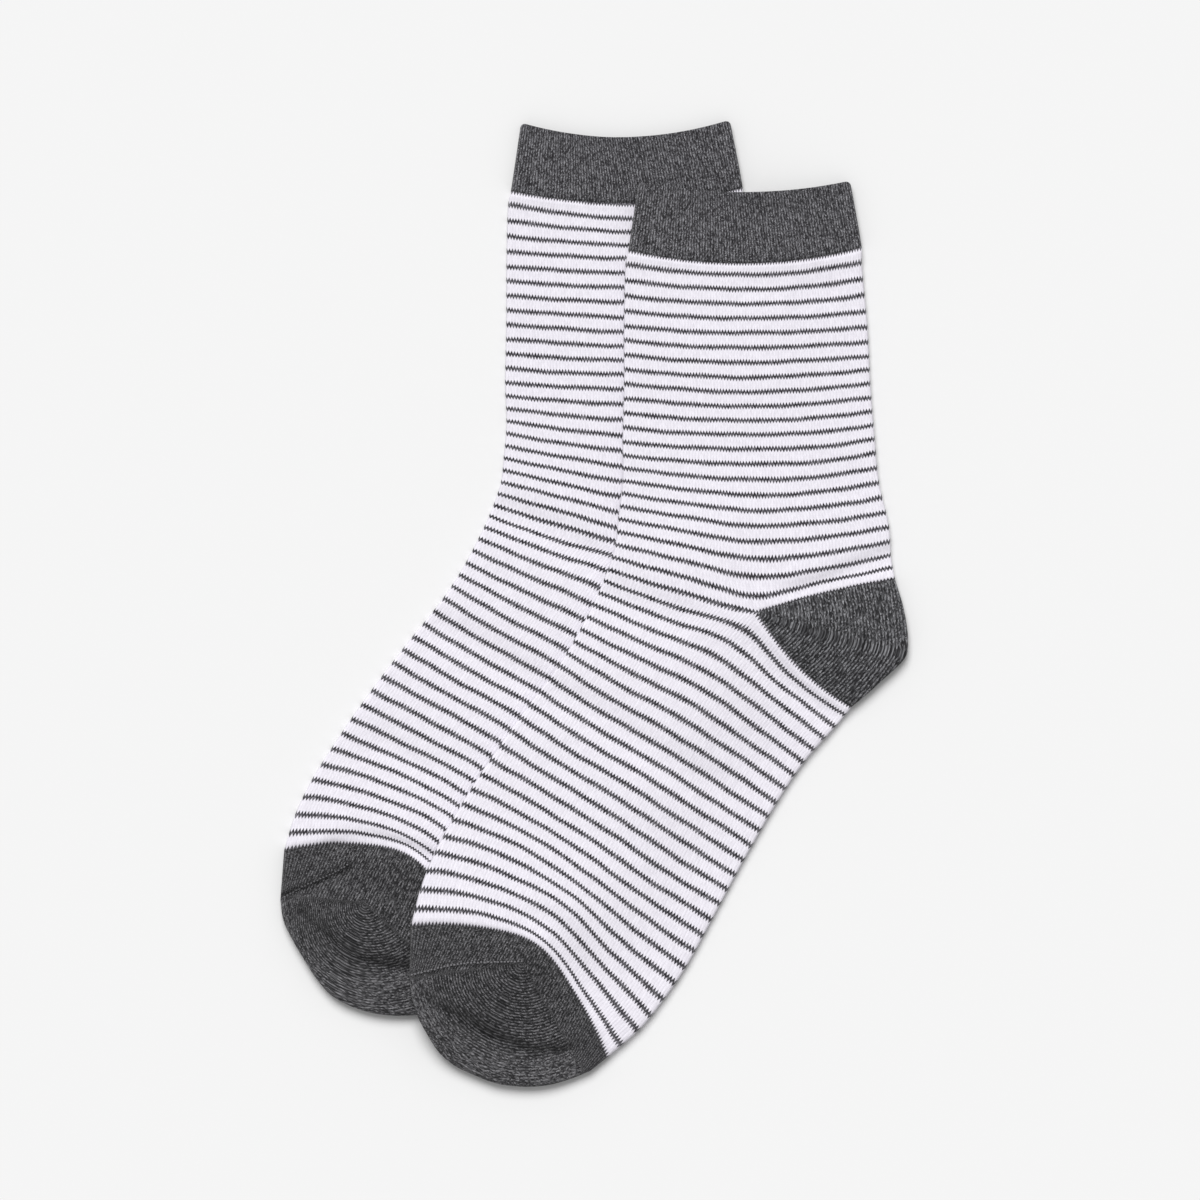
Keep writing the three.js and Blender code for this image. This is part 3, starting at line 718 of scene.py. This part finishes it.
heel_knit = knit_material("heel_knit", None, grey(16, 16, 18), grey(155, 155, 159), None, 0.8)
for name in SOCKS:
    heel = heel_piece(name)
    heel.data.materials.append(heel_knit)
    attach(heel, "root")
    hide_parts(f"{name}_sock_heel")


# The toe: a charcoal band that goes on from the foot, and a pouch of short rows whose wales turn round the
# end of the linked seam.


TOE_DEPTH, BAND_COURSES = 50, 62
SOCKS["upper"].update(pivot=(-24.7, -123.5), linked=(-63.7, -129), sole=(-3, -161.5), rim=29)
SOCKS["lower"].update(pivot=(-78.8, -103.2), linked=(-107.1, -100.4), sole=(-46, -133.5), rim=22)


def toe_uv(name, stripe, across, plan):
    """Wale and course of each place: wales go straight on for a band, and in the pouch they are rings
    round the pivot, counted outwards, with courses that count the way round from the nearer seam.
    Also how strong the painted shade in the grooves between wales is at each place."""
    sock = SOCKS[name]
    pivot, linked, sole = (np.array(sock[key]) for key in ("pivot", "linked", "sole"))
    off = plan - pivot
    to_linked, to_sole = linked - pivot, sole - pivot
    turned = (np.arctan2(to_sole[1], to_sole[0]) - np.arctan2(off[..., 1], off[..., 0])) % (2 * np.pi)
    whole = (np.arctan2(to_sole[1], to_sole[0]) - np.arctan2(to_linked[1], to_linked[0])) % (2 * np.pi)
    reach = np.hypot(off[..., 0], off[..., 1])
    share = np.clip(turned / whole, 0, 1)
    pitch = (np.hypot(*to_sole) * (1 - share) + np.hypot(*to_linked) * share) / (WALES / 2)
    pouch = np.stack([reach / pitch, reach * np.sin((0.5 - abs(share - 0.5)) * whole) / COURSE_HEIGHT], -1)
    along = (stripe - TOE_SEAM) / (TOE_TIP - TOE_SEAM) * BAND_COURSES
    band = np.stack([abs(across - 0.5) * WALES, along], -1)
    round_pivot = turned < whole
    # Painted shade in the grooves between wales: full round the pivot, less past the rim, and even on the
    # band.
    groove_shade = np.where(round_pivot, 1 - 0.45 * step_up(reach, sock["rim"], sock["rim"] + 7), 0.85)
    return np.where(round_pivot[..., None], pouch, band), np.stack([groove_shade, groove_shade], -1)


def toe_piece(name):
    """The toe's shell: rows from the foot's seam to the fold round the tip, close together in the fold."""
    from_tip = np.concatenate([2.7 * (1 - np.cos(FOLD_ANGLES)), np.arange(3.4, TOE_DEPTH - 0.3, 0.6)])
    stripe = np.concatenate([TOE_TIP - (TOE_TIP - TOE_SEAM) * from_tip / TOE_DEPTH, [TOE_SEAM]])[::-1]
    across = across_steps(name, stripe, count=128)
    points, uvs = ring(name, stripe, across)
    rows, count = points.shape[:2]
    faces = ring_faces(rows, count, None)
    around = np.concatenate([across, across[:, -2:0:-1]], 1)
    stripe = np.broadcast_to(stripe[:, None], around.shape)
    knit, groove_shade = toe_uv(name, stripe, around, points[..., :2] * 1000 + CENTRE)
    corners = {"knit": knit.reshape(-1, 2)[faces], "groove_shade": groove_shade.reshape(-1, 2)[faces]}
    return cloth(f"{name}_sock_toe_pouch", points.reshape(-1, 3), faces, corners, 1.2)


toe_knit = knit_material("toe_knit", None, grey(14, 14, 16), grey(136, 135, 138), None, 0.8)
for name in SOCKS:
    toe = toe_piece(name)
    toe.data.materials.append(toe_knit)
    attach(toe, "root")
    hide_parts(f"{name}_sock_toe")
    SOCKS[name]["toe_cloth"] = toe


# The linking seam that closes each toe: a row of raised charcoal stitches over the top of the toes, from
# the instep fold to where the pouch's wales turn.


SEAM_LINES = {
    "upper": [(-62.6, -127.8), (-50.2, -124.7), (-43.7, -123.7), (-33.8, -123.4), (-24.8, -123.2)],
    "lower": [(-106.6, -101), (-99.9, -97.2), (-89.9, -92.8), (-84.6, -89.8)],
}


BEAD_LENGTH, BEAD_WIDTH, BEAD_PITCH = 0.42, 0.36, 1.16


def seam_piece(name):
    """Beads along the seam, each an ellipsoid: its length by the cosine of u, and its width and height by
    the sine of u times the cosine and the sine of v. They are set on the toe where a ray down meets it."""
    line = np.array(SEAM_LINES[name])
    lengths = np.concatenate([[0], np.cumsum(np.hypot(*np.diff(line, axis=0).T))])
    at = np.arange(0, lengths[-1], BEAD_PITCH)
    plan = np.stack([np.interp(at, lengths, line[:, i]) for i in (0, 1)], -1)
    plan[:, 1] += 0.12 * np.sin(at * 2.9)
    step = np.gradient(plan, axis=0)
    along = step / np.linalg.norm(step, axis=1, keepdims=True)
    toe = SOCKS[name]["toe_cloth"]
    above = [((x - CENTRE[0]) / 1000, (y - CENTRE[1]) / 1000, 0.05) for x, y in plan]
    centre = np.array([toe.ray_cast(point, (0, 0, -1))[1] for point in above])
    u, v = np.meshgrid(np.linspace(0, np.pi, 7), np.linspace(0, 2 * np.pi, 9)[:-1], indexing="ij")
    forward = BEAD_LENGTH * np.cos(u)
    across = BEAD_WIDTH * np.sin(u) * np.cos(v)
    up = BEAD_WIDTH * np.sin(u) * np.sin(v)
    beads = np.zeros(at.shape + u.shape + (3,))
    beads[..., 0] = along[:, 0, None, None] * forward - along[:, 1, None, None] * across
    beads[..., 1] = along[:, 1, None, None] * forward + along[:, 0, None, None] * across
    beads[..., 2] = up
    beads = beads / 1000 + centre[:, None, None]
    one = ring_faces(*u.shape, None)[:, ::-1]
    faces = (one[None] + (np.arange(len(at)) * u.size)[:, None, None]).reshape(-1, 4)
    mesh = bpy.data.meshes.new(f"{name}_sock_toe_seam")
    mesh.from_pydata(beads.reshape(-1, 3).tolist(), [], faces.tolist())
    mesh.polygons.foreach_set("use_smooth", np.ones(len(mesh.polygons), bool))
    seam = bpy.data.objects.new(f"{name}_sock_toe_seam", mesh)
    bpy.context.scene.collection.objects.link(seam)
    weld = seam.modifiers.new("weld", "WELD")
    weld.merge_threshold = 0.000002
    return seam


seam_yarn = bpy.data.materials.new("seam_yarn")
seam_yarn.use_nodes = True
seam_shader = seam_yarn.node_tree.nodes["Principled BSDF"]
seam_shader.inputs["Base Color"].default_value = grey(114, 113, 116)
seam_shader.inputs["Roughness"].default_value = 0.9
# The rays need the finished toes.
bpy.context.view_layer.update()
for name in SOCKS:
    seam = seam_piece(name)
    seam.data.materials.append(seam_yarn)
    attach(seam, "root")


# The table, the light and the camera. The table is pale and matt, the light is an even sky and one broad
# soft lamp from the cuffs' side, and the camera looks straight down on the pair as it lies.


def table_top():
    """A square of plain pale table, six metres each way."""
    mesh = bpy.data.meshes.new("table_top")
    corners = [(-3, -3, 0), (3, -3, 0), (3, 3, 0), (-3, 3, 0)]
    mesh.from_pydata(corners, [], [(0, 1, 2, 3)])
    top = bpy.data.objects.new("table_top", mesh)
    bpy.context.scene.collection.objects.link(top)
    material = bpy.data.materials.new("pale_table")
    material.use_nodes = True
    shader = material.node_tree.nodes["Principled BSDF"]
    shader.inputs["Base Color"].default_value = 0.79, 0.79, 0.79, 1
    shader.inputs["Roughness"].default_value = 0.9
    shader.inputs["Specular IOR Level"].default_value = 0.0
    mesh.materials.append(material)
    return top


table_top()

scene = bpy.context.scene
scene.view_settings.view_transform = "Standard"
world = bpy.data.worlds.new("studio")
world.use_nodes = True
world.node_tree.nodes["Background"].inputs[0].default_value = 1, 1, 1, 1
world.node_tree.nodes["Background"].inputs[1].default_value = 0.45
scene.world = world


def sun(name, towards, strength, spread):
    """A soft light that shines along a direction, evenly over the whole table."""
    data = bpy.data.lights.new(name, "SUN")
    data.energy, data.angle = strength, math.radians(spread)
    light = bpy.data.objects.new(name, data)
    light.rotation_mode = "QUATERNION"
    light.rotation_quaternion = Vector(towards).to_track_quat("-Z", "Y")
    scene.collection.objects.link(light)


sun("softbox", (0.15, -0.7, -1.0), 2.74, 36)

LENS, SENSOR = 800, 36
MM_A_PIXEL = 0.345
VIEW_WIDTH = 1200 * MM_A_PIXEL / 1000
VIEW_CENTRE = 0.00199, 0.00106
camera_data = bpy.data.cameras.new("camera")
camera_data.lens, camera_data.sensor_width = LENS, SENSOR
camera = bpy.data.objects.new("camera", camera_data)
camera.location = *VIEW_CENTRE, VIEW_WIDTH / SENSOR * LENS
scene.collection.objects.link(camera)
scene.camera = camera
